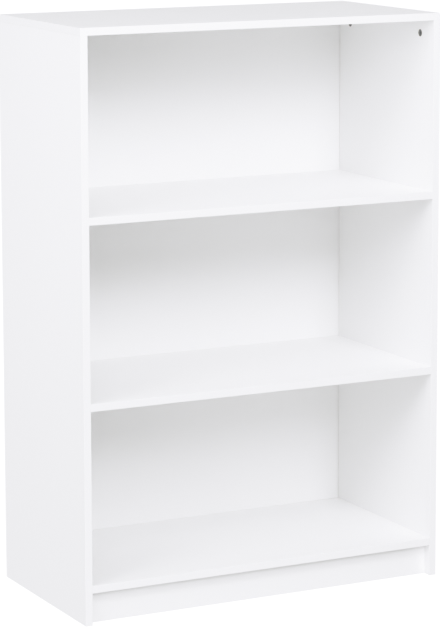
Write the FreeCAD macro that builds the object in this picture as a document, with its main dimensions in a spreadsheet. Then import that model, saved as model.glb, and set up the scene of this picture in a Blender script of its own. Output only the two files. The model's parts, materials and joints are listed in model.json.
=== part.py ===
"""Open three-bay bookcase in white melamine board, held together by cam locks and dowels.

Frame: X to the right, Y to the back, Z up. The origin is on the floor, in the middle of the
case's footprint. Each board is drawn from its own front left bottom corner and then put in
place, so that every measure in a sketch counts from a corner that a joiner would measure from.
"""
import FreeCAD, Part
import os
import re

import Sketcher

Vector = FreeCAD.Vector
RIGHT, BACK, UP = Vector(1, 0, 0), Vector(0, 1, 0), Vector(0, 0, 1)

# Driving sizes in millimetres: name, value, meaning.
SIZES = (
    ("case_width", 800, "over both side panels"),
    ("case_depth", 400, "front face to rear edges"),
    ("board_thick", 15, "chipboard of the carcass and shelves"),
    ("plinth_height", 65, "floor to underside of the bottom shelf"),
    ("plinth_recess", 20, "front face of the case to face of the plinth"),
    ("bottom_bay", 348, "clear height of the bottom bay"),
    ("middle_bay", 350, "clear height of the middle bay"),
    ("top_bay", 350, "clear height of the top bay"),
    ("band_thick", 0.8, "edge band"),
    ("band_round", 0.4, "rounding of an edge band's long edges"),
    ("back_thick", 3, "hardboard back panel"),
    ("back_setback", 10.4, "rear edges of the sides to the back panel"),
    ("groove_depth", 7, "grooves that hold the back panel"),
    ("groove_rear_play", 0.2, "groove's rear wall to the back panel"),
    ("groove_front_play", 0.8, "back panel to the groove's front wall"),
    ("groove_end_play", 0.5, "back panel's edges to the groove's floor"),
    ("shelf_rear_gap", 0.5, "rear edge of a shelf to the back panel"),
    ("fixing_front_inset", 54.5, "case front to the front row of cam locks"),
    ("fixing_rear_inset", 58.3, "case rear to the rear row of cam locks"),
    ("dowel_pitch", 32, "cam lock to the dowel beside it"),
    ("cam_reach", 29, "end of a board to the axis of its cam locks"),
    ("cam_bore", 15, "diameter of a cam lock's bore"),
    ("cam_bore_depth", 12.5, "depth of a cam lock's bore"),
    ("cam_play", 0.05, "radial clearance of a cam lock in its bore"),
    ("cam_recess", 0.3, "face of the board to face of the cam lock"),
    ("cam_floor_play", 0.2, "cam lock to the floor of its bore"),
    ("cam_offset", 0.45, "eccentricity of the cavity that draws the bolt in"),
    ("cam_chamfer", 0.3, "rim of the cam lock's face"),
    ("cross_length", 8, "cross recess for a screwdriver"),
    ("cross_width", 1.6, "arm of the cross recess"),
    ("cross_depth", 2.4, "depth of the cross recess"),
    ("mark_length", 1.3, "arrow mark on the cam lock's face"),
    ("mark_width", 2, "base of the arrow mark"),
    ("mark_depth", 0.5, "depth of the arrow mark"),
    ("mark_rim", 0.7, "tip of the arrow mark to the cam lock's rim"),
    ("head_diameter", 6.6, "head of a cam bolt"),
    ("head_near", 1, "cam lock's axis to the end of the bolt's head"),
    ("head_thick", 2.8, "thickness of the bolt's head"),
    ("head_play", 0.3, "bolt's head to the cavity's floor and roof"),
    ("entry_play", 0.2, "bolt's head to the wall of its entry"),
    ("grip_play", 0.1, "head's rim to the cavity's wall when locked"),
    ("neck_diameter", 5, "neck of a cam bolt"),
    ("neck_play", 0.2, "bolt's neck to its seat at the locked end of the slot"),
    ("slot_play", 0.3, "bolt's neck to the slot's walls"),
    ("shaft_diameter", 7, "plain shaft of a cam bolt"),
    ("shaft_bore", 8, "bore for the shaft in the end of a board"),
    ("shaft_end_gap", 0.4, "end of the shaft to the cam lock's bore"),
    ("thread_diameter", 6, "threaded end of a cam bolt"),
    ("thread_length", 11, "threaded end of a cam bolt"),
    ("thread_pitch", 2, "coarse thread that cuts into chipboard"),
    ("thread_depth", 0.5, "depth of the coarse thread"),
    ("bore_play", 0.05, "radial clearance of threads, dowels and nails"),
    ("bore_end_play", 0.5, "end of a thread or dowel to the floor of its bore"),
    ("dowel_diameter", 8, "beech dowel"),
    ("dowel_in_face", 10, "length of a dowel in the face of a board"),
    ("dowel_in_end", 20, "length of a dowel in the end of a board"),
    ("dowel_chamfer", 1, "ends of a dowel"),
    ("plinth_dowel_inset", 17, "plinth's edges to its dowels"),
    ("nail_diameter", 1.4, "shank of a back panel nail"),
    ("nail_length", 20, "shank of a back panel nail, point included"),
    ("nail_point", 2, "point of a nail"),
    ("nail_head", 3.4, "diameter of a nail's head"),
    ("nail_head_thick", 0.7, "thickness of a nail's head"),
    ("nail_inset", 60, "side panel to the first nail"),
)
NAILS_PER_SHELF = 4
SAME = 1e-6  # two places closer than this are one place

# Lengths that follow from the driving sizes, written in the sheet's names.
INNER_WIDTH = "(case_width - 2 * board_thick)"
CASE_LEFT = "(-case_width / 2)"
CASE_FRONT = "(-case_depth / 2)"
INNER_LEFT = "(board_thick - case_width / 2)"
BOARD_FRONT = "(band_thick - case_depth / 2)"
BOARD_DEPTH = "(case_depth - band_thick)"
HALF_BOARD = "(board_thick / 2)"
BOTTOM_SHELF_Z = "plinth_height"
LOWER_SHELF_Z = "(plinth_height + board_thick + bottom_bay)"
UPPER_SHELF_Z = f"({LOWER_SHELF_Z} + board_thick + middle_bay)"
SIDE_HEIGHT = f"({UPPER_SHELF_Z} + board_thick + top_bay)"
BACK_FRONT_FACE = "(case_depth / 2 - back_setback - back_thick)"
SHELF_DEPTH = f"({BACK_FRONT_FACE} - shelf_rear_gap - {BOARD_FRONT})"
GROOVE_WIDTH = "(groove_rear_play + back_thick + groove_front_play)"
GROOVE_Y = f"({BACK_FRONT_FACE} - groove_front_play - {BOARD_FRONT})"
BACK_OVERLAP = "(groove_depth - groove_end_play)"
BACK_WIDTH = f"({INNER_WIDTH} + 2 * {BACK_OVERLAP})"
BACK_HEIGHT = f"({SIDE_HEIGHT} + {BACK_OVERLAP} - {BOTTOM_SHELF_Z})"
HEAD_FAR = "(head_near + head_thick)"
FIXING_ROWS = (("front", "(fixing_front_inset - band_thick)"),
               ("rear", f"({BOARD_DEPTH} - fixing_rear_inset)"))
DOWEL_ROWS = ("(fixing_front_inset + dowel_pitch - band_thick)",
              f"({BOARD_DEPTH} - fixing_rear_inset - dowel_pitch)")
FIXING_Y = [depth for _, depth in FIXING_ROWS]
PLINTH_DOWEL_Y = f"(plinth_recess - band_thick + {HALF_BOARD})"
PLINTH_DOWEL_Z = ("plinth_dowel_inset", "(plinth_height - plinth_dowel_inset)")
NAIL_PITCH = f"(({INNER_WIDTH} - 2 * nail_inset) / {NAILS_PER_SHELF - 1})"
NAIL_X = [f"(nail_inset + {number} * {NAIL_PITCH})" for number in range(NAILS_PER_SHELF)]
SHELVES = (("upper_shelf", UPPER_SHELF_Z), ("lower_shelf", LOWER_SHELF_Z),
           ("bottom_shelf", BOTTOM_SHELF_Z))

doc = FreeCAD.newDocument("bookcase")
sheet = doc.addObject("Spreadsheet::Sheet", "Sizes")
for row, (alias, size, meaning) in enumerate(SIZES, start=1):
    sheet.set(f"A{row}", meaning)
    sheet.set(f"B{row}", str(size))
    sheet.setAlias(f"B{row}", alias)
doc.recompute()

nodes = []


# ---------------------------------------------------------------- drawing helpers

def in_sheet(text):
    """Write an expression in the sheet's names the way the document reads it."""
    return re.sub(r"[a-z]+(?:_[a-z]+)+", r"Sizes.\g<0>", text)


def measure(text):
    """Length of an expression in the sheet's names, in millimetres."""
    return float(sheet.evalExpression(in_sheet(text)))


def tie(thing, path, text):
    """Bind one property of an object to the sheet."""
    thing.setExpression(path, in_sheet(text))


def place(thing, x, y, z, turn=None):
    """Put an object where three expressions say, turned if asked."""
    if turn:
        thing.Placement = FreeCAD.Placement(Vector(), turn)
    for axis, text in zip("xyz", (x, y, z)):
        tie(thing, f"Placement.Base.{axis}", text)


def turn_to(x_axis, z_axis):
    """Rotation that lays an object's own X and Z axes along two directions."""
    return FreeCAD.Rotation(x_axis, z_axis.cross(x_axis), z_axis, "ZXY")


def keep(thing):
    """List an object as a sub-part that gets a file of its own."""
    nodes.append(thing)
    return thing


def new_body(label):
    body = doc.addObject("PartDesign::Body", label)
    body.Label = label
    return body


def new_sketch(body, name, role, shift=None):
    """Sketch on one of the body's own origin planes, moved along its normal if asked."""
    sketch = body.newObject("Sketcher::SketchObject", f"{body.Name}_{name}")
    plane = next(item for item in body.Origin.OriginFeatures if item.Role == role)
    sketch.AttachmentSupport = [(plane, "")]
    sketch.MapMode = "FlatFace"
    if shift:
        tie(sketch, "AttachmentOffset.Base.z", shift)
    return sketch


def fix(sketch, kind, where, text):
    """Add a dimension to a sketch and bind it to the sheet."""
    number = sketch.addConstraint(Sketcher.Constraint(kind, *where, measure(text)))
    tie(sketch, f"Constraints[{number}]", text)


def outline(sketch, corners):
    """Closed outline whose corners lie at pairs of expressions."""
    points = [Vector(measure(x), measure(y), 0) for x, y in corners]
    first = sketch.GeometryCount
    for start, end in zip(points, points[1:] + points[:1]):
        sketch.addGeometry(Part.LineSegment(start, end))
    for number, (x, y) in enumerate(corners):
        before = first + (number - 1) % len(corners)
        sketch.addConstraint(Sketcher.Constraint("Coincident", before, 2, first + number, 1))
        fix(sketch, "DistanceX", (-1, 1, first + number, 1), x)
        fix(sketch, "DistanceY", (-1, 1, first + number, 1), y)


def rectangle(sketch, left, low, wide, high):
    """Rectangle from its lower left corner and its two lengths."""
    right, top = f"({left} + {wide})", f"({low} + {high})"
    outline(sketch, ((left, low), (right, low), (right, top), (left, top)))


def circles(sketch, centres, diameter):
    """Circles of one diameter at pairs of expressions."""
    for x, y in centres:
        centre = Vector(measure(x), measure(y), 0)
        ring = sketch.addGeometry(Part.Circle(centre, UP, measure(diameter) / 2))
        fix(sketch, "DistanceX", (-1, 1, ring, 3), x)
        fix(sketch, "DistanceY", (-1, 1, ring, 3), y)
        fix(sketch, "Diameter", (ring,), diameter)


def pad(body, sketch, length):
    feature = body.newObject("PartDesign::Pad", f"{sketch.Name}_pad")
    feature.Profile = sketch
    tie(feature, "Length", length)
    doc.recompute()


def cut(body, kind, sketch, settings, bound):
    """Take a shape away from a body, and make sure that it took something."""
    before = body.Shape.Volume
    feature = body.newObject(f"PartDesign::{kind}", f"{sketch.Name}_cut")
    feature.Profile = sketch
    for name, setting in settings.items():
        setattr(feature, name, setting)
    for name, text in bound.items():
        tie(feature, name, text)
    doc.recompute()
    if body.Shape.Volume >= before:
        raise RuntimeError(f"{feature.Name} takes nothing away from {body.Label}")


def pocket(body, sketch, depth, along_normal=False):
    cut(body, "Pocket", sketch, {"Reversed": along_normal}, {"Length": depth})


def turned_cut(body, sketch, angle):
    """Cut by a sketch swung about its own vertical axis, half to each side of its plane."""
    settings = {"ReferenceAxis": (sketch, ["V_Axis"]), "Angle": angle, "Midplane": True}
    cut(body, "Groove", sketch, settings, {})


def turned_body(label, corners):
    """Turned piece: a profile of radius and height revolved about Z."""
    body = new_body(label)
    sketch = new_sketch(body, "profile", "XZ_Plane")
    outline(sketch, corners)
    feature = body.newObject("PartDesign::Revolution", f"{label}_turned")
    feature.Profile = sketch
    feature.ReferenceAxis = (sketch, ["V_Axis"])
    feature.Angle = 360
    doc.recompute()
    return body


def board(label, wide, deep, high):
    """Rectangular blank that stands on its own XY plane."""
    body = new_body(label)
    sketch = new_sketch(body, "blank", "XY_Plane")
    rectangle(sketch, "0", "0", wide, deep)
    pad(body, sketch, high)
    return body


def soften(body, kind, bound, chosen):
    """Fillet or chamfer the edges whose middle passes a test."""
    base = body.Tip
    names = [f"Edge{number}" for number, edge in enumerate(base.Shape.Edges, start=1)
             if chosen(edge.CenterOfMass)]
    feature = body.newObject(f"PartDesign::{kind}", f"{body.Name}_{kind.lower()}")
    feature.Base = (base, names)
    for name, text in bound.items():
        tie(feature, name, text)
    doc.recompute()


# ---------------------------------------------------------------- fixings, drawn once each

# A thread's ridges are rings: a screw thread in chipboard is only as true as that.
def thread_profile():
    """Corners up the threaded end of a cam bolt, from its tip to the joint's plane."""
    crest = "(thread_diameter / 2)"
    root = "(thread_diameter / 2 - thread_depth)"
    turns = int(measure("thread_length") // measure("thread_pitch"))
    corners = []
    for number in range(turns):
        foot = f"({number} * thread_pitch - thread_length)"
        corners += [(root, foot), (crest, f"({foot} + thread_pitch / 2)")]
    return [("0", "(-thread_length)")] + corners + [(root, "0")]


def cam_bolt():
    """Bolt along Z: thread below the joint's plane, shaft, neck and head above it."""
    shaft_end = "(cam_reach - cam_bore / 2 - shaft_end_gap)"
    head_start, head_end = f"(cam_reach - {HEAD_FAR})", "(cam_reach - head_near)"
    radii = [f"({part}_diameter / 2)" for part in ("shaft", "neck", "head")]
    shaft, neck, head = radii
    return turned_body("cam_bolt", thread_profile() + [
        (shaft, "0"), (shaft, shaft_end), (neck, shaft_end), (neck, head_start),
        (head, head_start), (head, head_end), ("0", head_end)])


def dowel():
    """Dowel along Z: its short end below the joint's plane, its long end above it."""
    radius = "(dowel_diameter / 2 - bore_play)"
    nose = f"({radius} - dowel_chamfer)"
    return turned_body("dowel", [
        ("0", "(-dowel_in_face)"), (nose, "(-dowel_in_face)"),
        (radius, "(dowel_chamfer - dowel_in_face)"), (radius, "(dowel_in_end - dowel_chamfer)"),
        (nose, "dowel_in_end"), ("0", "dowel_in_end")])


def nail():
    """Nail along Z: flat head below the plane of the panel, shank and point above it."""
    shank, head = "(nail_diameter / 2)", "(nail_head / 2)"
    return turned_body("nail", [
        ("0", "(-nail_head_thick)"), (head, "(-nail_head_thick)"), (head, "0"), (shank, "0"),
        (shank, "(nail_length - nail_point)"), ("0", "nail_length")])


def cam_lock():
    """Cam lock: its face on Z = 0, its body along Z into the board, its bolt towards X.

    Half a turn about Z carries the bolt through the slot, from its seat at +X round by +Y to
    the entry at -X, where the head passes out.
    """
    radius = "(cam_bore / 2 - cam_play)"
    bolt_z = f"({HALF_BOARD} - cam_recess)"
    cavity_height = "(head_diameter + 2 * head_play)"
    slot_height = "(neck_diameter + 2 * slot_play)"
    cavity = f"(sqrt({HEAD_FAR}^2 + (head_diameter / 2)^2) + cam_offset + grip_play)"

    body = new_body("cam_lock")
    sketch = new_sketch(body, "round", "XY_Plane")
    circles(sketch, [("0", "0")], f"(2 * {radius})")
    pad(body, sketch, "(cam_bore_depth - cam_recess - cam_floor_play)")

    sketch = new_sketch(body, "cavity", "XZ_Plane")
    tie(sketch, "AttachmentOffset.Base.x", "(-cam_offset)")
    rectangle(sketch, "0", f"({bolt_z} - {cavity_height} / 2)", cavity, cavity_height)
    turned_cut(body, sketch, 360)

    sketch = new_sketch(body, "slot", "YZ_Plane")
    rectangle(sketch, f"({cavity} - 2 * cam_offset)", f"({bolt_z} - {slot_height} / 2)",
              radius, slot_height)
    turned_cut(body, sketch, 180)

    ends = (("seat", "(neck_diameter + 2 * neck_play)", True),
            ("entry", "(head_diameter + 2 * entry_play)", False))
    for name, diameter, towards_bolt in ends:
        sketch = new_sketch(body, name, "YZ_Plane")
        circles(sketch, [("0", bolt_z)], diameter)
        pocket(body, sketch, f"({radius} + cam_play)", along_normal=towards_bolt)

    arms = (("cross_length", "cross_width"), ("cross_width", "cross_length"))
    for number, (wide, high) in enumerate(arms, start=1):
        sketch = new_sketch(body, f"cross_{number}", "XY_Plane")
        rectangle(sketch, f"(-{wide} / 2)", f"(-{high} / 2)", wide, high)
        pocket(body, sketch, "cross_depth", along_normal=True)
    sketch = new_sketch(body, "mark", "XY_Plane")
    tip, base = f"(mark_rim - {radius})", f"(mark_rim + mark_length - {radius})"
    outline(sketch, ((tip, "0"), (base, "(-mark_width / 2)"), (base, "(mark_width / 2)")))
    pocket(body, sketch, "mark_depth", along_normal=True)

    soften(body, "Chamfer", {"Size": "cam_chamfer"}, lambda middle: middle.Length < SAME)
    return body


# ---------------------------------------------------------------- boards

def end_bores(body, name, role, shift, places, into_normal):
    """Bores for shafts and dowels in the end of a board, at places along its edge."""
    kinds = (("bolt", "shaft_bore", "cam_reach", places(FIXING_Y)),
             ("dowel", "dowel_diameter", "(dowel_in_end + bore_end_play)", places(DOWEL_ROWS)))
    for kind, diameter, depth, centres in kinds:
        sketch = new_sketch(body, f"{name}_{kind}", role, shift)
        circles(sketch, centres, diameter)
        pocket(body, sketch, depth, along_normal=into_normal)


def face_bores(body, name, role, shift, bolts, dowels, into_normal):
    """Bores in the face of a board for the threads and short dowel ends that enter it."""
    kinds = (("thread", "(thread_diameter + 2 * bore_play)", "(thread_length + bore_end_play)",
              bolts),
             ("dowel", "dowel_diameter", "(dowel_in_face + bore_end_play)", dowels))
    for kind, diameter, depth, centres in kinds:
        sketch = new_sketch(body, f"{name}_{kind}", role, shift)
        circles(sketch, centres, diameter)
        pocket(body, sketch, depth, along_normal=into_normal)


def left_side():
    """Left side panel: grooved for the back, bored for the top, the shelves and the plinth."""
    body = board("left_side", "board_thick", BOARD_DEPTH, SIDE_HEIGHT)

    sketch = new_sketch(body, "back_groove", "XY_Plane")
    rectangle(sketch, "(board_thick - groove_depth)", GROOVE_Y, "groove_depth", GROOVE_WIDTH)
    pocket(body, sketch, SIDE_HEIGHT, along_normal=True)

    sketch = new_sketch(body, "cam_bores", "YZ_Plane", "board_thick")
    circles(sketch, [(y, f"({SIDE_HEIGHT} - cam_reach)") for y in FIXING_Y], "cam_bore")
    pocket(body, sketch, "cam_bore_depth")
    end_bores(body, "top", "XY_Plane", SIDE_HEIGHT,
              lambda rows: [(HALF_BOARD, y) for y in rows], into_normal=False)

    middles = [f"({z} + {HALF_BOARD})" for _, z in SHELVES]
    bolts = [(y, z) for z in middles for y in FIXING_Y]
    dowels = [(y, z) for z in middles for y in DOWEL_ROWS]
    dowels += [(PLINTH_DOWEL_Y, z) for z in PLINTH_DOWEL_Z]
    face_bores(body, "inner", "YZ_Plane", "board_thick", bolts, dowels, into_normal=False)
    place(body, CASE_LEFT, BOARD_FRONT, "0")
    return keep(body)


def top_panel():
    """Top panel: lies on the side panels, grooved and bored from below."""
    body = board("top_panel", "(case_width - 2 * band_thick)", BOARD_DEPTH, "board_thick")
    side_middles = (f"({HALF_BOARD} - band_thick)",
                    f"(case_width - band_thick - {HALF_BOARD})")

    sketch = new_sketch(body, "back_groove", "XY_Plane")
    rectangle(sketch, "(board_thick - band_thick - groove_depth)", GROOVE_Y,
              f"({INNER_WIDTH} + 2 * groove_depth)", GROOVE_WIDTH)
    pocket(body, sketch, "groove_depth", along_normal=True)
    face_bores(body, "underside", "XY_Plane", None,
               [(x, y) for x in side_middles for y in FIXING_Y],
               [(x, y) for x in side_middles for y in DOWEL_ROWS], into_normal=True)
    place(body, f"({CASE_LEFT} + band_thick)", BOARD_FRONT, SIDE_HEIGHT)
    return keep(body)


def shelf(label, height):
    """Fixed shelf: cam bores in its underside, bolt and dowel bores in both ends."""
    body = board(label, INNER_WIDTH, SHELF_DEPTH, "board_thick")
    sketch = new_sketch(body, "cam_bores", "XY_Plane")
    across = ("cam_reach", f"({INNER_WIDTH} - cam_reach)")
    circles(sketch, [(x, y) for x in across for y in FIXING_Y], "cam_bore")
    pocket(body, sketch, "cam_bore_depth", along_normal=True)
    for end, shift in (("left", None), ("right", INNER_WIDTH)):
        end_bores(body, end, "YZ_Plane", shift,
                  lambda rows: [(y, HALF_BOARD) for y in rows], into_normal=shift is None)

    sketch = new_sketch(body, "nail_holes", "XZ_Plane", f"(-{SHELF_DEPTH})")
    circles(sketch, [(x, HALF_BOARD) for x in NAIL_X], "(nail_diameter + 2 * bore_play)")
    pocket(body, sketch, "(nail_length - back_thick - shelf_rear_gap + bore_end_play)",
           along_normal=True)
    place(body, INNER_LEFT, BOARD_FRONT, height)
    return keep(body)


def plinth():
    """Kick board under the bottom shelf, set back between the sides and doweled to them."""
    body = board("plinth", INNER_WIDTH, "board_thick", "plinth_height")
    for end, shift in (("left", None), ("right", INNER_WIDTH)):
        sketch = new_sketch(body, f"{end}_dowel", "YZ_Plane", shift)
        circles(sketch, [(HALF_BOARD, z) for z in PLINTH_DOWEL_Z], "dowel_diameter")
        pocket(body, sketch, "(dowel_in_end + bore_end_play)", along_normal=shift is None)
    place(body, INNER_LEFT, f"({CASE_FRONT} + plinth_recess)", "0")
    return keep(body)


def back_panel():
    """Hardboard back: in the grooves of sides and top, nailed to the shelves' rear edges."""
    body = board("back_panel", BACK_WIDTH, "back_thick", BACK_HEIGHT)
    sketch = new_sketch(body, "nail_holes", "XZ_Plane")
    centres = [(f"({BACK_OVERLAP} + {x})", f"({z} + {HALF_BOARD} - {BOTTOM_SHELF_Z})")
               for _, z in SHELVES for x in NAIL_X]
    circles(sketch, centres, "(nail_diameter + 2 * bore_play)")
    pocket(body, sketch, "back_thick")
    place(body, f"({INNER_LEFT} - {BACK_OVERLAP})", BACK_FRONT_FACE, BOTTOM_SHELF_Z)
    return keep(body)


def front_band(label, wide, high, x, z):
    """Edge band on a front edge, its four front edges softly rounded."""
    body = board(label, wide, "band_thick", high)
    soften(body, "Fillet", {"Radius": "band_round"}, lambda middle: abs(middle.y) < SAME)
    place(body, x, CASE_FRONT, z)
    return keep(body)


def top_left_band():
    """Edge band on the left end of the top panel, behind the band on its front."""
    body = board("top_left_band", "band_thick", BOARD_DEPTH, "board_thick")
    soften(body, "Fillet", {"Radius": "band_round"},
           lambda middle: abs(middle.x) < SAME and middle.y > SAME)
    place(body, CASE_LEFT, BOARD_FRONT, SIDE_HEIGHT)
    return keep(body)


def mirrored(label, source):
    """The same piece for the other end of the case."""
    twin = doc.addObject("Part::Mirroring", label)
    twin.Label = label
    twin.Source = source
    twin.Normal = RIGHT
    return keep(twin)


# ---------------------------------------------------------------- fixings in place

def cam_at(label, master, x, y, z, bolt_side, inwards):
    """Cam lock as a body of its own, its bolt side and its depth along two directions."""
    body = new_body(label)
    body.newObject("PartDesign::FeatureBase", f"{label}_shape").BaseFeature = master
    place(body, x, y, z, turn_to(bolt_side, inwards))
    return keep(body)


def group(label, master, spots):
    """One node of identical fixings: each spot is three expressions and a rotation."""
    copies = []
    for number, (x, y, z, turn) in enumerate(spots, start=1):
        copy = doc.addObject("App::Link", f"{label}_{number}")
        copy.LinkedObject = master
        place(copy, x, y, z, turn)
        copies.append(copy)
    bundle = doc.addObject("Part::Compound", label)
    bundle.Label = label
    bundle.Links = copies
    return keep(bundle)


def in_case(y):
    """Depth in a board's own frame carried over to the case's Y axis."""
    return f"({BOARD_FRONT} + {y})"


SIDE_ENDS = (("left", INNER_LEFT, -RIGHT, "+"), ("right", f"(-{INNER_LEFT})", RIGHT, "-"))


def top_fixings(cam, bolt, peg):
    """Cam locks in the side panels, with the bolts and dowels that stand up into the top."""
    for end, inner_face, outwards, inward_sign in SIDE_ENDS:
        outward_sign = "-" if inward_sign == "+" else "+"
        for row_name, y in FIXING_ROWS:
            cam_at(f"{end}_side_{row_name}_cam", cam, f"({inner_face} {outward_sign} cam_recess)",
                   in_case(y), f"({SIDE_HEIGHT} - cam_reach)", UP, outwards)
    middles = [f"({sign}(case_width - board_thick) / 2)" for sign in ("-", "")]
    down = turn_to(RIGHT, -UP)
    for label, master, rows in (("top_cam_bolts", bolt, FIXING_Y), ("top_dowels", peg, DOWEL_ROWS)):
        group(label, master, [(x, in_case(y), SIDE_HEIGHT, down) for x in middles for y in rows])


def shelf_fixings(label, height, cam, bolt, peg):
    """Cam locks in the underside of a shelf, with its bolts and dowels from the sides."""
    middle = f"({height} + {HALF_BOARD})"
    for end, inner_face, outwards, inward_sign in SIDE_ENDS:
        for row_name, y in FIXING_ROWS:
            cam_at(f"{label}_{end}_{row_name}_cam", cam,
                   f"({inner_face} {inward_sign} cam_reach)", in_case(y),
                   f"({height} + cam_recess)", outwards, UP)
    for name, master, rows in (("cam_bolts", bolt, FIXING_Y), ("dowels", peg, DOWEL_ROWS)):
        group(f"{label}_{name}", master,
              [(inner_face, in_case(y), middle, turn_to(UP, -outwards))
               for _, inner_face, outwards, _ in SIDE_ENDS for y in rows])


def plinth_dowels(peg):
    group("plinth_dowels", peg,
          [(inner_face, in_case(PLINTH_DOWEL_Y), z, turn_to(UP, -outwards))
           for _, inner_face, outwards, _ in SIDE_ENDS for z in PLINTH_DOWEL_Z])


def back_panel_nails(pin):
    rear_face = f"({BACK_FRONT_FACE} + back_thick)"
    forwards = turn_to(RIGHT, -BACK)
    group("back_panel_nails", pin,
          [(f"({INNER_LEFT} + {x})", rear_face, f"({z} + {HALF_BOARD})", forwards)
           for _, z in SHELVES for x in NAIL_X])


# ---------------------------------------------------------------- the bookcase

cam_master, bolt_master, dowel_master, nail_master = cam_lock(), cam_bolt(), dowel(), nail()

left = left_side()
mirrored("right_side", left)
top_panel()
back_panel()
plinth()
for shelf_name, shelf_z in SHELVES:
    shelf(shelf_name, shelf_z)
    front_band(f"{shelf_name}_band", INNER_WIDTH, "board_thick", INNER_LEFT, shelf_z)
    shelf_fixings(shelf_name, shelf_z, cam_master, bolt_master, dowel_master)

front_band("top_front_band", "case_width", "board_thick", CASE_LEFT, SIDE_HEIGHT)
mirrored("right_side_band", front_band("left_side_band", "board_thick", SIDE_HEIGHT,
                                       CASE_LEFT, "0"))
mirrored("top_right_band", top_left_band())
top_fixings(cam_master, bolt_master, dowel_master)
plinth_dowels(dowel_master)
back_panel_nails(nail_master)
doc.recompute()

for thing in doc.Objects:
    if {"Invalid", "Error"} & set(thing.State):
        raise RuntimeError(f"{thing.Name} did not compute: {thing.State}")
for node in nodes:
    if node.Shape.isNull() or not node.Shape.isValid():
        raise RuntimeError(f"{node.Label} has no valid shape")

os.makedirs("parts", exist_ok=True)
for node in nodes:
    node.Shape.exportStep(os.path.join("parts", f"{node.Label}.step"))
    print(f"{node.Label}: {len(node.Shape.Solids)} solid(s), {node.Shape.Volume / 1000:.1f} cm3")
print(f"{len(nodes)} sub-parts")
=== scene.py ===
# %% [markdown]
# # Dressing a white bookcase
#
# The bookcase is already built: every board, edge band, cam lock, bolt, dowel and nail is a solid
# of its real size, and this file leaves their shapes alone. What it adds is how they look. White
# furniture is a good exercise, because there is no colour to hide behind: the eye reads the case
# only by soft light, by the thin shadows in its joints and by the small differences between
# laminate, plastic, hardboard, raw chipboard and metal.

# %% Load the finished construction
import json
import math

import bmesh
import bpy
from mathutils import Matrix, Vector


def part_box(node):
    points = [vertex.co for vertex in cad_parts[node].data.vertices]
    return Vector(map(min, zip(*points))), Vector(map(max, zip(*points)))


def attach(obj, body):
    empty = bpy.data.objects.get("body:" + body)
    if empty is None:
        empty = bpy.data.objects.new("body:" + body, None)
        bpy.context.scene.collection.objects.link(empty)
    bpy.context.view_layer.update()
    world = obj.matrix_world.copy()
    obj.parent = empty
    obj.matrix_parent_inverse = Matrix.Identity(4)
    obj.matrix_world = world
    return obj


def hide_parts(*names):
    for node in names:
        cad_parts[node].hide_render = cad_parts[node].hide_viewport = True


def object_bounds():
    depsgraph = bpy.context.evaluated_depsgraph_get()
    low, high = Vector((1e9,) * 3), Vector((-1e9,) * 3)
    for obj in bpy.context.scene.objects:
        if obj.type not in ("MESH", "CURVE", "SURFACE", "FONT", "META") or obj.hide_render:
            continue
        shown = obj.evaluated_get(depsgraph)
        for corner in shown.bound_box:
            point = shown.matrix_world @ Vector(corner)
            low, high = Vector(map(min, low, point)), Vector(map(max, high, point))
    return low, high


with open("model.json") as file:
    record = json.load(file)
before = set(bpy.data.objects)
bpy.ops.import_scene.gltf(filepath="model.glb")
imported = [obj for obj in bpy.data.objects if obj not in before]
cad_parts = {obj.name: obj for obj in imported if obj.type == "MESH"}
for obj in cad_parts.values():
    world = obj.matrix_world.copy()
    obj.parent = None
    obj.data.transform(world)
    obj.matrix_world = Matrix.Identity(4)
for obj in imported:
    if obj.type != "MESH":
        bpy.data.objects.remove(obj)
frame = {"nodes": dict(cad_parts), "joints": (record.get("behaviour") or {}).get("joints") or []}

nodes = frame["nodes"]
cad_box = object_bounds()
case_size = cad_box[1] - cad_box[0]
print(f"{len(nodes)} pieces, {case_size.x:.3f} x {case_size.y:.3f} x {case_size.z:.3f} m")

# %% [markdown]
# ## A shorthand for shader nodes
#
# A Blender material is a small network: texture nodes make patterns, math nodes cut masks out of
# them, and everything ends in the sockets of one Principled BSDF. Wiring that node by node takes
# three lines each time. The first helper adds a node in one line: an input that is given another
# node's output is wired to it, and any other value is typed into its socket.

# %% Add and wire a node
def add(tree, kind, inputs, **settings):
    """Add one shader node and return its outputs."""
    new = tree.nodes.new("ShaderNode" + kind)
    for name, value in settings.items():
        setattr(new, name, value)
    for name, value in inputs.items():
        if isinstance(value, bpy.types.NodeSocket):
            tree.links.new(value, new.inputs[name])
        else:
            new.inputs[name].default_value = value
    return new.outputs


def calculate(tree, operation, *values):
    """One step of arithmetic between numbers or outputs."""
    return add(tree, "Math", dict(enumerate(values)), operation=operation)[0]


def remap(tree, value, low, high, new_low, new_high):
    """Stretch the range low..high to new_low..new_high, and hold the ends."""
    return add(tree, "MapRange", {"Value": value, "From Min": low, "From Max": high,
                                  "To Min": new_low, "To Max": new_high})[0]


def mix_numbers(tree, share, first, second):
    """The first number where share is 0, the second where it is 1."""
    return add(tree, "Mix", {0: share, 2: first, 3: second})[0]


def mix_colours(tree, share, first, second):
    """The first colour where share is 0, the second where it is 1."""
    return add(tree, "Mix", {0: share, 6: first, 7: second}, data_type="RGBA")[2]


def grey(value):
    """A neutral colour."""
    return (value, value, value, 1.0)


print("helpers ready")

# %% [markdown]
# ## One place for every pattern
#
# All patterns below are measured in metres on Object coordinates. A piece's own space never
# moves with the camera or with the joints, so a chip of wood stays where it is when the piece
# turns, and a grain that is 0.7 mm wide on the real board is 0.7 mm wide here. The alternative,
# UV maps, would need an unwrapping for each of the pieces and would break the pattern at seams.
# Heights are in metres too: the Bump node gets a strength of 1 and a distance of 1 m.

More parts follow.
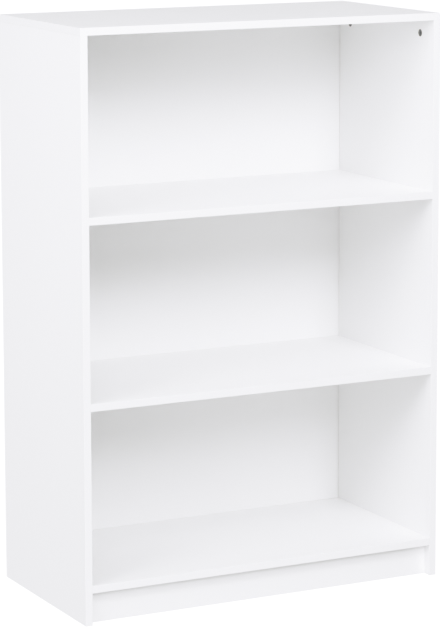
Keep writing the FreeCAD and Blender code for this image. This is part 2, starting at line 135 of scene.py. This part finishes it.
# %% Start and end a material
def start(name):
    """A new material's tree, with the point being shaded as a vector."""
    material = bpy.data.materials.new(name)
    material.use_nodes = True
    tree = material.node_tree
    return material, tree, add(tree, "TexCoord", {})["Object"]


def end(tree, colour, roughness, height, **constants):
    """Wire colour, roughness and height into the Principled BSDF and type the rest into it."""
    shader = tree.nodes["Principled BSDF"]
    relief = add(tree, "Bump", {"Height": height, "Strength": 1.0, "Distance": 1.0})[0]
    tree.links.new(colour, shader.inputs["Base Color"])
    tree.links.new(roughness, shader.inputs["Roughness"])
    tree.links.new(relief, shader.inputs["Normal"])
    for name, value in constants.items():
        shader.inputs[name.replace("_", " ")].default_value = value


def end_both(tree, share, first, second):
    """End a material with two looks: the first where share is 0, the second where it is 1."""
    end(tree, mix_colours(tree, share, first[0], second[0]),
        mix_numbers(tree, share, first[1], second[1]),
        mix_numbers(tree, share, first[2], second[2]))


print("materials so far:", len(bpy.data.materials))

# %% Patterns by their size
X_AXIS, Y_AXIS, Z_AXIS = range(3)
NOISE_SPAN = (0.3, 0.7)     # nearly all of a noise's values lie between these


def noise(tree, place, size, detail=2.0):
    """Soft noise from 0 to 1 whose lumps are about the given size in metres."""
    return add(tree, "TexNoise", {"Vector": place, "Scale": 1 / size, "Detail": detail})["Fac"]


def cells(tree, place, size):
    """A Voronoi pattern whose cells are about the given size in metres."""
    return add(tree, "TexVoronoi", {"Vector": place, "Scale": 1 / size})


def stretch(tree, place, axis, factor):
    """Squeeze a pattern along one axis where the factor is above 1, draw it out below 1."""
    factors = [factor if i == axis else 1.0 for i in range(3)]
    return add(tree, "Mapping", {"Vector": place, "Scale": factors}, vector_type="POINT")[0]


def off_plane(tree, place, axis, plane):
    """How far the point lies from a plane across one axis, in metres."""
    along = add(tree, "SeparateXYZ", {"Vector": place})[axis]
    return calculate(tree, "ABSOLUTE", calculate(tree, "SUBTRACT", along, plane))


print("patterns ready, in metres along X, Y and Z:", X_AXIS, Y_AXIS, Z_AXIS)

# %% [markdown]
# ## White laminate
#
# The boards are chipboard faced with melamine: paper soaked in resin and pressed hot against a
# steel plate that is etched with a fine pearl grain. So the face isn't a plain white. It has
# tiny rounded lumps about 0.7 mm apart and 0.02 mm high, a satin gloss that varies a little
# where the resin flowed, and almost no colour of its own. The grain is a noise of a single
# octave: it has round lumps of one size, as etching leaves them. A Voronoi would do too, but it
# looks up 27 cells for every point of every board, and this one costs almost nothing.

# %% The laminate's look
WHITE = grey(0.905)
WHITE_SHADE = grey(0.895)
PEARL_WIDTH = 0.0007
PEARL_HEIGHT = 0.00002
FLOW_WIDTH = 0.04
LAMINATE_ROUGHNESS = (0.40, 0.50)


def laminate(tree, place):
    """Colour, roughness and height of white melamine laminate."""
    flow = noise(tree, place, FLOW_WIDTH)
    grain = noise(tree, place, PEARL_WIDTH, detail=0.0)
    colour = mix_colours(tree, flow, WHITE_SHADE, WHITE)
    roughness = mix_numbers(tree, flow, *LAMINATE_ROUGHNESS)
    return colour, roughness, calculate(tree, "MULTIPLY", grain, PEARL_HEIGHT)


print(f"laminate: lumps {1000 * PEARL_WIDTH} mm apart")

# %% [markdown]
# ## Raw chipboard
#
# Where a board has no facing it shows its core: at the rear edges, under the sides, in the
# groove for the back and in the bores. Chipboard is pressed in three layers. The middle has
# coarse flakes, 4 mm long and flat, with sunken gaps between them, and the outer 2 mm are fine and
# dense. Both are Voronoi cells squeezed along the board's thickness, each cell with its own tone
# of straw to brown, and the gaps are the corners that lie farthest from the cells' centres. The
# gaps are sunk in the relief and coloured dark brown, which is painted shade inside these voids.

# %% The core's look
FLAKE_LENGTH = 0.004
CHIP_LENGTH = 0.0014
FLATNESS = 3.5
GAP_SPAN = (0.62, 0.85)
CORE_DEPTH = 0.00025
CORE_DARK = (0.34, 0.215, 0.115, 1.0)
CORE_LIGHT = (0.70, 0.54, 0.35, 1.0)
# Painted shade: the dark colour given to the voids between the middle layer's flakes.
PAINTED_GAP_SHADE = (0.13, 0.075, 0.038, 1.0)
CORE_FIBRES = 0.3
CORE_ROUGHNESS = (0.8, 0.95)
FLAKE_RELIEF = 0.4
FINE_LAYER = (0.62, 0.78)


def chipboard(tree, place, axis, depth):
    """Colour, roughness and height of raw chipboard; depth is 0 amid the board, 1 at its faces."""
    flat = stretch(tree, place, axis, FLATNESS)
    fine = remap(tree, depth, *FINE_LAYER, 0.0, 1.0)
    flake, chip = cells(tree, flat, FLAKE_LENGTH), cells(tree, flat, CHIP_LENGTH)
    own = mix_colours(tree, fine, flake["Color"], chip["Color"])
    shade = add(tree, "SeparateColor", {"Color": own})["Red"]
    open_gap = remap(tree, flake["Distance"], *GAP_SPAN, 0.0, 1.0)
    gap = calculate(tree, "MULTIPLY", open_gap, calculate(tree, "SUBTRACT", 1.0, fine))
    fibre = noise(tree, flat, CHIP_LENGTH / 4)
    straw = mix_colours(tree, shade, CORE_DARK, CORE_LIGHT)
    straw = mix_colours(tree, calculate(tree, "MULTIPLY", fibre, CORE_FIBRES), straw,
                        CORE_DARK)
    # The gaps get the dark colour, painted shade in the voids, and are sunk in the height below.
    colour = mix_colours(tree, gap, straw, PAINTED_GAP_SHADE)
    height = calculate(tree, "SUBTRACT", calculate(tree, "MULTIPLY", shade, FLAKE_RELIEF), gap)
    roughness = remap(tree, fibre, 0.0, 1.0, *CORE_ROUGHNESS)
    return colour, roughness, calculate(tree, "MULTIPLY", height, CORE_DEPTH)


print(f"chipboard: flakes {1000 * FLAKE_LENGTH:.0f} mm, chips {1000 * CHIP_LENGTH} mm")

# %% [markdown]
# ## A faced board
#
# The two looks meet in one material, because board and facing are one piece. The laminate is
# 0.15 mm thick, so whatever lies nearer than that to one of the two broad faces is laminate, and
# the rest is core. That puts chipboard into every groove, bore and sawn edge without selecting a
# single face, and leaves the hair-thin white line that real laminate shows at a raw edge. The
# thickness direction is simply the shortest side of the board's box.

# %% Face the boards
FACING_DEPTH = 0.00015
BOARDS = ("left_side", "right_side", "top_panel", "upper_shelf", "lower_shelf", "bottom_shelf",
          "plinth")


def thickness(name):
    """(axis, middle, half) of a flat piece: its thin direction, its middle plane, half its size."""
    low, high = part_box(name)
    size = high - low
    axis = min(range(3), key=lambda i: size[i])
    return axis, (low[axis] + high[axis]) / 2, size[axis] / 2


def faced_board(name):
    """White laminate on a board's two broad faces, raw chipboard everywhere else."""
    material, tree, place = start(f"faced_{name}")
    axis, middle, half = thickness(name)
    distance = off_plane(tree, place, axis, middle)
    faced = calculate(tree, "GREATER_THAN", distance, half - FACING_DEPTH)
    core = chipboard(tree, place, axis, calculate(tree, "DIVIDE", distance, half))
    end_both(tree, faced, core, laminate(tree, place))
    return material


def dress(name, material):
    """Give a finished piece its material."""
    nodes[name].data.materials.clear()
    nodes[name].data.materials.append(material)


for name in BOARDS:
    dress(name, faced_board(name))
    print(name, "thin along", "XYZ"[thickness(name)[0]], f"{2000 * thickness(name)[2]:.1f} mm")

# %% [markdown]
# ## Edge bands
#
# The front edges wear a strip of white plastic, 0.8 mm thick, glued on hot and then scraped round
# along its two long edges. It is smoother than the laminate, with faint lines along the strip
# from the scraper, and a thread of glue, greyer than the plastic, shows in the joint. The strip
# is again a flat piece, so its glue side is found from its box: the side nearer the case's middle.

# %% Band the edges
BAND_WHITE = grey(0.882)
BAND_SHADE = grey(0.872)
BAND_ROUGHNESS = (0.30, 0.42)
GLUE = (0.50, 0.48, 0.43, 1.0)
GLUE_LINE = 0.00008
SCRAPE_WIDTH = 0.0006
SCRAPE_LENGTH = 0.06
SCRAPE_HEIGHT = 0.000006


def edge_band(name):
    """Satin white plastic, drawn out along the band, with the glue line on its inner side."""
    material, tree, place = start(f"plastic_{name}")
    axis, middle, half = thickness(name)
    low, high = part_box(name)
    size = high - low
    along = max(range(3), key=lambda i: size[i])
    drawn = stretch(tree, place, along, SCRAPE_WIDTH / SCRAPE_LENGTH)
    lines = noise(tree, drawn, SCRAPE_WIDTH)
    inner = middle - math.copysign(half, middle)
    glued = calculate(tree, "LESS_THAN", off_plane(tree, place, axis, inner), GLUE_LINE)
    plastic = mix_colours(tree, lines, BAND_SHADE, BAND_WHITE)
    end(tree, mix_colours(tree, glued, plastic, GLUE),
        mix_numbers(tree, lines, *BAND_ROUGHNESS),
        calculate(tree, "MULTIPLY", lines, SCRAPE_HEIGHT))
    return material


for name in (n for n in nodes if n.endswith("_band")):
    dress(name, edge_band(name))
    print(name, "banded")

# %% [markdown]
# ## The back panel
#
# The back is a sheet of hardboard, wood fibre pressed 3 mm thick. Its front is lacquered white to
# go with the boards, and its rear is left as it comes from the press: brown, matt and mottled,
# with short fibres lying in all directions and a few dark specks of bark. How far a
# point lies behind the front face tells the two apart. Fibres are two noises drawn out at right
# angles to each other. Specks are the middles of Voronoi cells, but one in each cell would look
# like a printed pattern, so each cell's own random number sets its speck's size, and for most of
# them that is nothing.

# %% Press the brown sheet
BROWN = (0.26, 0.145, 0.072, 1.0)
BROWN_LIGHT = (0.42, 0.26, 0.14, 1.0)
BROWN_DARK = (0.19, 0.105, 0.052, 1.0)
BARK = (0.06, 0.030, 0.014, 1.0)
BARE_ROUGHNESS = (0.62, 0.8)
FIBRE_WIDTH = 0.0004
FIBRE_RATIO = 0.12
FIBRE_HEIGHT = 0.00006
FIBRE_SPAN = (0.4, 0.7)
PATCH_SPAN = (0.35, 0.65)
MOTTLE_WIDTH, MOTTLE_SHARE = 0.025, 0.7
CLOUD_WIDTH, CLOUD_SHARE = 0.18, 0.5
SPECK_SPACING, SPECK_SHARE = 0.004, 0.6
SPECK_REACH = 0.22
SPECKLESS = 0.72


def bare_hardboard(tree, place):
    """Colour, roughness and height of pressed brown fibre."""
    across = noise(tree, stretch(tree, place, X_AXIS, FIBRE_RATIO), FIBRE_WIDTH, detail=3.0)
    upright = noise(tree, stretch(tree, place, Z_AXIS, FIBRE_RATIO), FIBRE_WIDTH, detail=3.0)
    fibre = calculate(tree, "MAXIMUM", across, upright)
    mottle = noise(tree, place, MOTTLE_WIDTH, detail=4.0)
    cloud = noise(tree, place, CLOUD_WIDTH)
    bark = cells(tree, place, SPECK_SPACING)
    luck = add(tree, "SeparateColor", {"Color": bark["Color"]})["Red"]
    reach = remap(tree, luck, SPECKLESS, 1.0, 0.0, SPECK_REACH)
    speck = calculate(tree, "LESS_THAN", bark["Distance"], reach)
    brown = mix_colours(tree, remap(tree, fibre, *FIBRE_SPAN, 0.0, 1.0), BROWN, BROWN_LIGHT)
    brown = mix_colours(tree, remap(tree, mottle, *PATCH_SPAN, 0.0, MOTTLE_SHARE), brown, BROWN)
    brown = mix_colours(tree, remap(tree, cloud, *PATCH_SPAN, 0.0, CLOUD_SHARE), brown,
                        BROWN_DARK)
    brown = mix_colours(tree, calculate(tree, "MULTIPLY", speck, SPECK_SHARE), brown, BARK)
    roughness = remap(tree, fibre, *NOISE_SPAN, *BARE_ROUGHNESS)
    return brown, roughness, calculate(tree, "MULTIPLY", fibre, FIBRE_HEIGHT)


print(f"hardboard: fibres {1000 * FIBRE_WIDTH} mm wide")

# %% Lacquer its front
LACQUER_DEPTH = 0.00012
LACQUER_ROUGHNESS = (0.42, 0.52)
PEEL_WIDTH = 0.003
PEEL_HEIGHT = 0.00001


def lacquer(tree, place):
    """Colour, roughness and height of sprayed white lacquer."""
    flow = noise(tree, place, FLOW_WIDTH)
    peel = noise(tree, place, PEEL_WIDTH)
    return (mix_colours(tree, flow, WHITE_SHADE, WHITE),
            mix_numbers(tree, flow, *LACQUER_ROUGHNESS),
            calculate(tree, "MULTIPLY", peel, PEEL_HEIGHT))


back_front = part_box("back_panel")[0].y
sheet, tree, place = start("lacquered_hardboard")
bare = calculate(tree, "GREATER_THAN", off_plane(tree, place, Y_AXIS, back_front), LACQUER_DEPTH)
end_both(tree, bare, lacquer(tree, place), bare_hardboard(tree, place))
dress("back_panel", sheet)
print(f"back panel lacquered at y = {back_front:.4f} m")

# %% [markdown]
# ## Metal fittings
#
# Three metals: the cam locks are cast zinc, dull and clouded by the mould; the bolts are steel
# with a bright zinc plating that has a faint yellow and blue bloom; the nails are bare drawn
# steel. All are the same recipe with other numbers, so one function makes them: metallic 1, a
# cloudy mix of two tints, and a fine grain in the relief.

# %% Cast, plated and drawn metal
METALS = {
    "cast_zinc": {"tints": ((0.17, 0.171, 0.175, 1.0), (0.27, 0.271, 0.275, 1.0)),
                  "cloud": 0.0025, "grain": 0.0003, "roughness": (0.42, 0.62),
                  "height": 0.00002},
    "plated_steel": {"tints": ((0.58, 0.57, 0.52, 1.0), (0.56, 0.60, 0.64, 1.0)),
                     "cloud": 0.004, "grain": 0.0002, "roughness": (0.22, 0.34),
                     "height": 0.000005},
    "drawn_steel": {"tints": ((0.36, 0.35, 0.34, 1.0), (0.48, 0.48, 0.47, 1.0)),
                    "cloud": 0.002, "grain": 0.0002, "roughness": (0.30, 0.48),
                    "height": 0.000006},
}


def metal(name):
    """A metal whose tint and gloss are clouded and whose surface has a fine grain."""
    look = METALS[name]
    material, tree, place = start(name)
    cloud = noise(tree, place, look["cloud"], detail=4.0)
    grain = noise(tree, place, look["grain"])
    end(tree, mix_colours(tree, cloud, *look["tints"]),
        mix_numbers(tree, cloud, *look["roughness"]),
        calculate(tree, "MULTIPLY", grain, look["height"]), Metallic=1.0)
    return material


plated_steel = metal("plated_steel")
for name in (n for n in nodes if n.endswith("_cam_bolts")):
    dress(name, plated_steel)
    print(name, "plated")
dress("back_panel_nails", metal("drawn_steel"))
print("nails drawn")

# %% [markdown]
# ## Cam locks
#
# A cam lock is a zinc drum, 15 mm across, sunk into its bore. A cross screwdriver turns it
# by half a turn, and the hook inside it draws the bolt's head in. The construction holds it with
# every cavity it needs but with the square edges of a drawing, and a casting has none: its cross
# narrows towards the bottom so that it leaves the mould and fits the screwdriver's tip, and its
# rims are rounded. Beginning again from a cylinder would risk the inside, which is right already.
# So one drum is copied and its loose triangles are merged back into whole faces; then the
# floors of cross and arrow are scaled down in edit mode, which slopes their walls, and the rims
# are bevelled.
#
# To work on it in comfort, the copy is first laid with its bore's mouth at the origin, with Z
# pointing into the board and X at the bolt. Each lock's joint says where that place is.

# %% Find a cam lock's own place
joint_of = {joint["child"]: joint for joint in frame["joints"]}
CAM_NAMES = [name for name in nodes if name.endswith("_cam")]


def cam_place(name):
    """Where a cam lock sits: its bore's mouth, Z into the board, X towards its bolt."""
    joint = joint_of[name]
    centre, outward = Vector(joint["pos_m"]), Vector(joint["axis"])
    in_a_side = abs(outward.x) > abs(outward.z)
    bolt = Vector((0, 0, 1)) if in_a_side else Vector((math.copysign(1, centre.x), 0, 0))
    place = Matrix((bolt, bolt.cross(outward), -outward)).transposed().to_4x4()
    place.translation = centre
    return place


print(len(CAM_NAMES), "cam locks")

# %% Merge the pattern's triangles
PATTERN = "right_side_front_cam"
MERGE_WITHIN = 0.000002
FLAT_WITHIN = math.radians(1)

cam = bpy.data.objects.new("cam_pattern", nodes[PATTERN].data.copy())
bpy.context.collection.objects.link(cam)
cam.data.transform(cam_place(PATTERN).inverted())
bpy.ops.object.select_all(action="DESELECT")
bpy.context.view_layer.objects.active = cam
cam.select_set(True)
bpy.ops.object.mode_set(mode="EDIT")
bpy.ops.mesh.select_all(action="SELECT")
bpy.ops.mesh.customdata_custom_splitnormals_clear()
bpy.ops.mesh.remove_doubles(threshold=MERGE_WITHIN)
bpy.ops.mesh.dissolve_limited(angle_limit=FLAT_WITHIN)
bpy.ops.object.mode_set(mode="OBJECT")
print("cam lock:", len(nodes[PATTERN].data.polygons), "triangles ->", len(cam.data.polygons))

# %% [markdown]
# ## Picking faces and edges in code
#
# By hand, one would click on the cross's floor. In a script, a face is known by its depth and an
# edge by its depth and its distance from the drum's axis. Only edges between faces that meet at
# an angle count: the others lie inside a flat face. The cross's floor shrinks towards the drum's
# axis, and the arrow's towards its own middle.

# %% Pick a floor or a rim
FACE_DEPTH = 0.0003
LEVEL_WITHIN = 0.00001
FACING_OUT = 0.9
CREASE_ANGLE = 0.5


def pick_floor(depth):
    """In edit mode, select the flat faces that lie at one depth in the bore."""
    bpy.ops.mesh.select_mode(type="FACE")
    bpy.ops.mesh.select_all(action="DESELECT")
    shape = bmesh.from_edit_mesh(cam.data)
    for face in shape.faces:
        level = abs(face.calc_center_median().z - depth) < LEVEL_WITHIN
        face.select = level and abs(face.normal.z) > FACING_OUT
    bmesh.update_edit_mesh(cam.data)
    print("picked", sum(face.select for face in shape.faces), f"face at {1000 * depth:.1f} mm")


def pick_rim(nearest, farthest):
    """In edit mode, select the drum's face edges that reach to a distance from its axis."""
    bpy.ops.mesh.select_mode(type="EDGE")
    bpy.ops.mesh.select_all(action="DESELECT")
    shape = bmesh.from_edit_mesh(cam.data)
    for edge in shape.edges:
        reach = max(vertex.co.xy.length for vertex in edge.verts)
        level = all(abs(vertex.co.z - FACE_DEPTH) < LEVEL_WITHIN for vertex in edge.verts)
        creased = edge.calc_face_angle(0) > CREASE_ANGLE
        edge.select = level and creased and nearest < reach < farthest
    bmesh.update_edit_mesh(cam.data)
    print("picked", sum(edge.select for edge in shape.edges), "edges of a rim")


print(f"a drum's face lies {1000 * FACE_DEPTH} mm deep in its bore")

# %% Slope the recesses and round the rims
CROSS_FLOOR, CROSS_TAPER, CROSS_REACH = 0.0027, 0.55, 0.0045
ARROW_FLOOR, ARROW_TAPER, ARROW_REACH = 0.0008, 0.7, (0.0048, 0.0068)
CROSS_ROUND, CROSS_STEPS = 0.00025, 3
ARROW_ROUND, ARROW_STEPS = 0.0001, 2
SMOOTH_BELOW = math.radians(35)

bpy.ops.object.mode_set(mode="EDIT")
pick_floor(CROSS_FLOOR)
bpy.ops.transform.resize(value=(CROSS_TAPER, CROSS_TAPER, 1), center_override=(0, 0, 0))
pick_floor(ARROW_FLOOR)
bpy.ops.transform.resize(value=(ARROW_TAPER, ARROW_TAPER, 1))
pick_rim(0, CROSS_REACH)
bpy.ops.mesh.bevel(offset=CROSS_ROUND, segments=CROSS_STEPS, affect="EDGES")
pick_rim(*ARROW_REACH)
bpy.ops.mesh.bevel(offset=ARROW_ROUND, segments=ARROW_STEPS, affect="EDGES")
bpy.ops.object.mode_set(mode="OBJECT")
bpy.ops.object.shade_smooth_by_angle(angle=SMOOTH_BELOW)
weighted = cam.modifiers.new("even_faces", "WEIGHTED_NORMAL")
weighted.keep_sharp = True
bpy.ops.object.modifier_apply(modifier=weighted.name)
print("cam lock:", len(cam.data.polygons), "faces")

# %% [markdown]
# ## Sixteen locks from one
#
# Each copy has a mesh of its own, moved to its bore, so that its object stays at the origin like
# every other piece. It rides on the body of its joint and turns with it.

# %% Lay a lock in every bore
cast_zinc = metal("cast_zinc")
for name in CAM_NAMES:
    lock = bpy.data.objects.new(f"{name}_lock", cam.data.copy())
    bpy.context.collection.objects.link(lock)
    lock.data.transform(cam_place(name))
    lock.data.materials.clear()
    lock.data.materials.append(cast_zinc)
    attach(lock, joint_of[name]["child"])
    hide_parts(name)
    print(lock.name, [round(v, 4) for v in cam_place(name).translation])
bpy.data.objects.remove(cam)

# %% [markdown]
# ## Beech dowels
#
# The dowels sit inside the joints, but they are pieces too, and anyone who takes the case apart
# sees them. Beech is pale pinkish brown with short dark flecks along the grain. All of them lie
# along X or stand along Z, so the grain follows each group's own direction.

# %% Turn the dowels' grain along them
BEECH_LIGHT = (0.62, 0.42, 0.25, 1.0)
BEECH_DARK = (0.45, 0.27, 0.14, 1.0)
GRAIN_WIDTH = 0.0006
GRAIN_RATIO = 0.06
FLECK_WIDTH = 0.0009
FLECK_RATIO = 0.3
FLECK_REACH = 0.35
FLECK_SHARE = 0.4
WOOD_ROUGHNESS = (0.5, 0.65)
WOOD_HEIGHT = 0.00003
STANDING_DOWELS = ("top_dowels",)


def beech(name, along):
    """Planed beech with its grain along one axis."""
    material, tree, place = start(name)
    grain = noise(tree, stretch(tree, place, along, GRAIN_RATIO), GRAIN_WIDTH, detail=3.0)
    flecks = cells(tree, stretch(tree, place, along, FLECK_RATIO), FLECK_WIDTH)
    fleck = remap(tree, flecks["Distance"], 0.0, FLECK_REACH, FLECK_SHARE, 0.0)
    colour = mix_colours(tree, grain, BEECH_LIGHT, BEECH_DARK)
    colour = mix_colours(tree, fleck, colour, BEECH_DARK)
    end(tree, colour, remap(tree, grain, *NOISE_SPAN, *WOOD_ROUGHNESS),
        calculate(tree, "MULTIPLY", grain, WOOD_HEIGHT))
    return material


lying, standing = beech("beech_lying", X_AXIS), beech("beech_standing", Z_AXIS)
for name in (n for n in nodes if n.endswith("_dowels")):
    dress(name, standing if name in STANDING_DOWELS else lying)
    print(name, "grain along", "Z" if name in STANDING_DOWELS else "X")

# %% [markdown]
# ## A pale floor
#
# White furniture is shown on white paper that has lights of its own, so that the paper
# turns fully white while the boards keep their shades. One huge plane that glows a little does
# that from every side; a curved paper wall would stand in the way of a camera that goes round
# the case. The glow is for the camera alone. The plane is hidden from the rays that carry light
# to the boards and casts no shadow, and the studio's light from below, which shines through it,
# stands for what real paper would throw back.

# %% Lay the paper
FLOOR_SIZE = 400.0
FLOOR_DROP = 0.0002
PAPER = grey(0.90)
PAPER_SHADE = grey(0.88)
PAPER_ROUGHNESS = (0.75, 0.85)
PAPER_GLOW = 1.4
PAPER_FIBRE = 0.002
PAPER_HEIGHT = 0.00002

bpy.ops.object.select_all(action="DESELECT")
bpy.ops.mesh.primitive_plane_add(size=FLOOR_SIZE, location=(0, 0, -FLOOR_DROP))
floor = bpy.context.object
floor.name = "floor"
paper, tree, place = start("paper")
fuzz = noise(tree, place, PAPER_FIBRE)
end(tree, mix_colours(tree, fuzz, PAPER_SHADE, PAPER),
    mix_numbers(tree, fuzz, *PAPER_ROUGHNESS), calculate(tree, "MULTIPLY", fuzz, PAPER_HEIGHT),
    Emission_Color=grey(1.0), Emission_Strength=PAPER_GLOW)
paper.cycles.emission_sampling = "NONE"
floor.data.materials.append(paper)
floor.visible_diffuse = False
floor.visible_glossy = False
floor.visible_shadow = False
print("floor", FLOOR_SIZE, "m")

# %% [markdown]
# ## Soft studio light
#
# Inside white shelves light comes from nearly everywhere, because every board throws nine tenths
# of it on to the next. What gives the case its form is how the light falls off towards the rear
# of each bay, and the shade that each board leaves beside it. So the studio has three windows,
# small enough for their shadows to be read. The main one is straight ahead and 30 degrees up, and
# one at the corner stands higher: they leave the upper part of each back in a soft shadow. The
# third lights the left side panel, and that panel's shadow lies slantwise across the left end of
# every shelf. All three are suns, which act like soft boxes far away: the wider the sun's disc,
# the softer its shadows. Two real soft boxes hang close by. The high one in front makes the top
# bay a little brighter than the lowest, and the weak one beside the case does the same for the
# left side panel's upper half.
#
# Two lights below the floor stand for white paper throwing light back: one in front of the plinth,
# and one behind the case, where no board that faces the camera can see it, which keeps the brown
# back and the right side from going dull.
#
# Directions are given as they are called out in a studio: degrees to the left or right of straight
# ahead, and degrees above the floor. A sun's disc is given in degrees too, a soft box's in metres.

# %% Aim and hang
def towards(azimuth, elevation):
    """The direction of a light: azimuth 0 is in front of the case, and right is positive."""
    turned, raised = math.radians(azimuth), math.radians(elevation)
    return Vector((math.sin(turned) * math.cos(raised), -math.cos(turned) * math.cos(raised),
                   math.sin(raised)))


def hang(name, kind, energy, azimuth, elevation, distance, aim_height):
    """Hang a light in a direction from a point on the case's axis, shining at that point."""
    direction = towards(azimuth, elevation)
    light = bpy.data.lights.new(name, kind)
    light.energy = energy
    lamp = bpy.data.objects.new(name, light)
    lamp.location = Vector((0, 0, aim_height)) + direction * distance
    lamp.rotation_euler = direction.to_track_quat("Z", "Y").to_euler()
    bpy.context.collection.objects.link(lamp)
    print(name, kind, "azimuth", azimuth, "elevation", elevation, "energy", energy)
    return light


print("straight ahead is", [round(v, 3) for v in towards(0, 0)])

# %% Hang the suns and the soft boxes
SUN_DISTANCE = 2.4
SUN_AIM = 0.6
SUNS = {"front_window": {"azimuth": 0, "elevation": 30, "disc": 20, "energy": 1.476},
        "corner_window": {"azimuth": -25, "elevation": 45, "disc": 20, "energy": 0.821},
        "left_window": {"azimuth": -62, "elevation": 40, "disc": 25, "energy": 1.002},
        "rear_paper": {"azimuth": 130, "elevation": -28, "disc": 50, "energy": 2.2}}
BOXES = {"high_box": {"azimuth": -10, "elevation": 0, "distance": 1.6, "disc": 0.8,
                      "watts": 16.9, "aim": 1.8},
         "left_box": {"azimuth": -75, "elevation": 0, "distance": 1.6, "disc": 0.8,
                      "watts": 6.6, "aim": 1.2},
         "front_paper": {"azimuth": -15, "elevation": -20, "distance": 1.3, "disc": 1.0,
                         "watts": 2.4, "aim": 0.1}}

for name, sun in SUNS.items():
    far_light = hang(name, "SUN", sun["energy"], sun["azimuth"], sun["elevation"],
                     SUN_DISTANCE, SUN_AIM)
    far_light.angle = math.radians(sun["disc"])
for name, box in BOXES.items():
    near_light = hang(name, "AREA", box["watts"], box["azimuth"], box["elevation"],
                      box["distance"], box["aim"])
    near_light.shape = "DISK"
    near_light.size = box["disc"]

# %% [markdown]
# ## The world behind the lights
#
# The world is the even light that fills the rest of the room. It isn't the same all round: it is
# strongest from the left, where the windows are, and white paper on the floor adds some from
# below. Each of the two fades evenly from its own side to nothing at the other, which a dot
# product of two directions gives. Seen by the camera past the edge of the paper the world has to
# be as white as the paper, or a low view would show a grey sky, and the Light Path node tells the
# camera's rays from the others.

# %% Fill the room
FROM_LEFT = 1.01
FROM_BELOW = 0.107
SKY = 2.2

world = bpy.data.worlds.new("studio")
bpy.context.scene.world = world
world.use_nodes = True
room = world.node_tree


def glow(side, strength):
    """Light of the given strength from one side of the world, fading to none at the other."""
    ray = add(room, "TexCoord", {})["Generated"]
    facing = add(room, "VectorMath", {0: ray, 1: side}, operation="DOT_PRODUCT")["Value"]
    return remap(room, facing, -1, 1, 0, strength)


fill = calculate(room, "ADD", glow((-1, 0, 0), FROM_LEFT), glow((0, 0, -1), FROM_BELOW))
seen = add(room, "LightPath", {})["Is Camera Ray"]
room.links.new(mix_numbers(room, seen, fill, SKY), room.nodes["Background"].inputs["Strength"])
room.nodes["Background"].inputs["Color"].default_value = grey(1.0)
print("from the left", FROM_LEFT, "from below", FROM_BELOW, "sky", SKY)

# %% [markdown]
# ## A gentle shoulder
#
# A bare render clips: everything above 1 turns into the same flat white, and the brightest
# boards lose their shades. Film and cameras bend the top of the scale over instead. Here the
# curve is light = tone * (1 + tone^6), which hardly touches the lower half and brings twice the
# clipping light to just white. Colour management takes it as a curve from light to tone, whose
# white level is that same 2. The blue channel has a curve of its own before that one: the
# brightest whites get a few hundredths more blue, which is what makes white paint look clean, and
# the shades stay neutral.

# %% Bend the highlights
SHOULDER = 6
WHITE_LEVEL = 2.0
TONES = (0.4, 0.6, 0.7, 0.8, 0.9, 0.95)
NEUTRAL_BELOW = 0.62
BLUE_FROM = (1.16, 1.6)
BLUE_GAIN = 1.055

view = bpy.context.scene.view_settings
view.view_transform = "Standard"
view.use_curve_mapping = True
view.curve_mapping.white_level = (WHITE_LEVEL,) * 3
blue, response = view.curve_mapping.curves[2:]
for tone in TONES:
    light_level = tone * (1 + tone ** SHOULDER)
    response.points.new(light_level / WHITE_LEVEL, tone)
    print(f"light {light_level:.3f} -> tone {tone}")
blue.points.new(NEUTRAL_BELOW / WHITE_LEVEL, NEUTRAL_BELOW / WHITE_LEVEL)
for light_level in BLUE_FROM:
    blue.points.new(light_level / WHITE_LEVEL, light_level * BLUE_GAIN / WHITE_LEVEL)
view.curve_mapping.update()

# %% [markdown]
# ## The camera
#
# Furniture is best seen from well back through a long lens, so that the boards stay nearly
# parallel, and with the lens shifted down instead of the camera tilted, so that the uprights stay
# upright. A view from another side keeps the shift, and a large one would push the case out of
# its picture. So the lens shifts a little and the camera tilts a little.

# %% Set up the camera
CAMERA_PLACE = Vector((-2.554, -4.986, 1.597))
CAMERA_YAW = math.radians(27.117)
CAMERA_PITCH = math.radians(8.468)
CAMERA_ROLL = math.radians(-0.140)
LENS = 158.5
LENS_SHIFT = -0.16

camera = bpy.data.objects.new("camera", bpy.data.cameras.new("camera"))
bpy.context.collection.objects.link(camera)
camera.data.lens = LENS
camera.data.shift_y = LENS_SHIFT
turned = (Matrix.Rotation(-CAMERA_YAW, 3, "Z") @ Matrix.Rotation(math.pi / 2 - CAMERA_PITCH, 3, "X")
          @ Matrix.Rotation(CAMERA_ROLL, 3, "Z"))
camera.rotation_euler = turned.to_euler()
camera.location = CAMERA_PLACE
bpy.context.scene.camera = camera
print("camera", [round(v, 3) for v in CAMERA_PLACE])
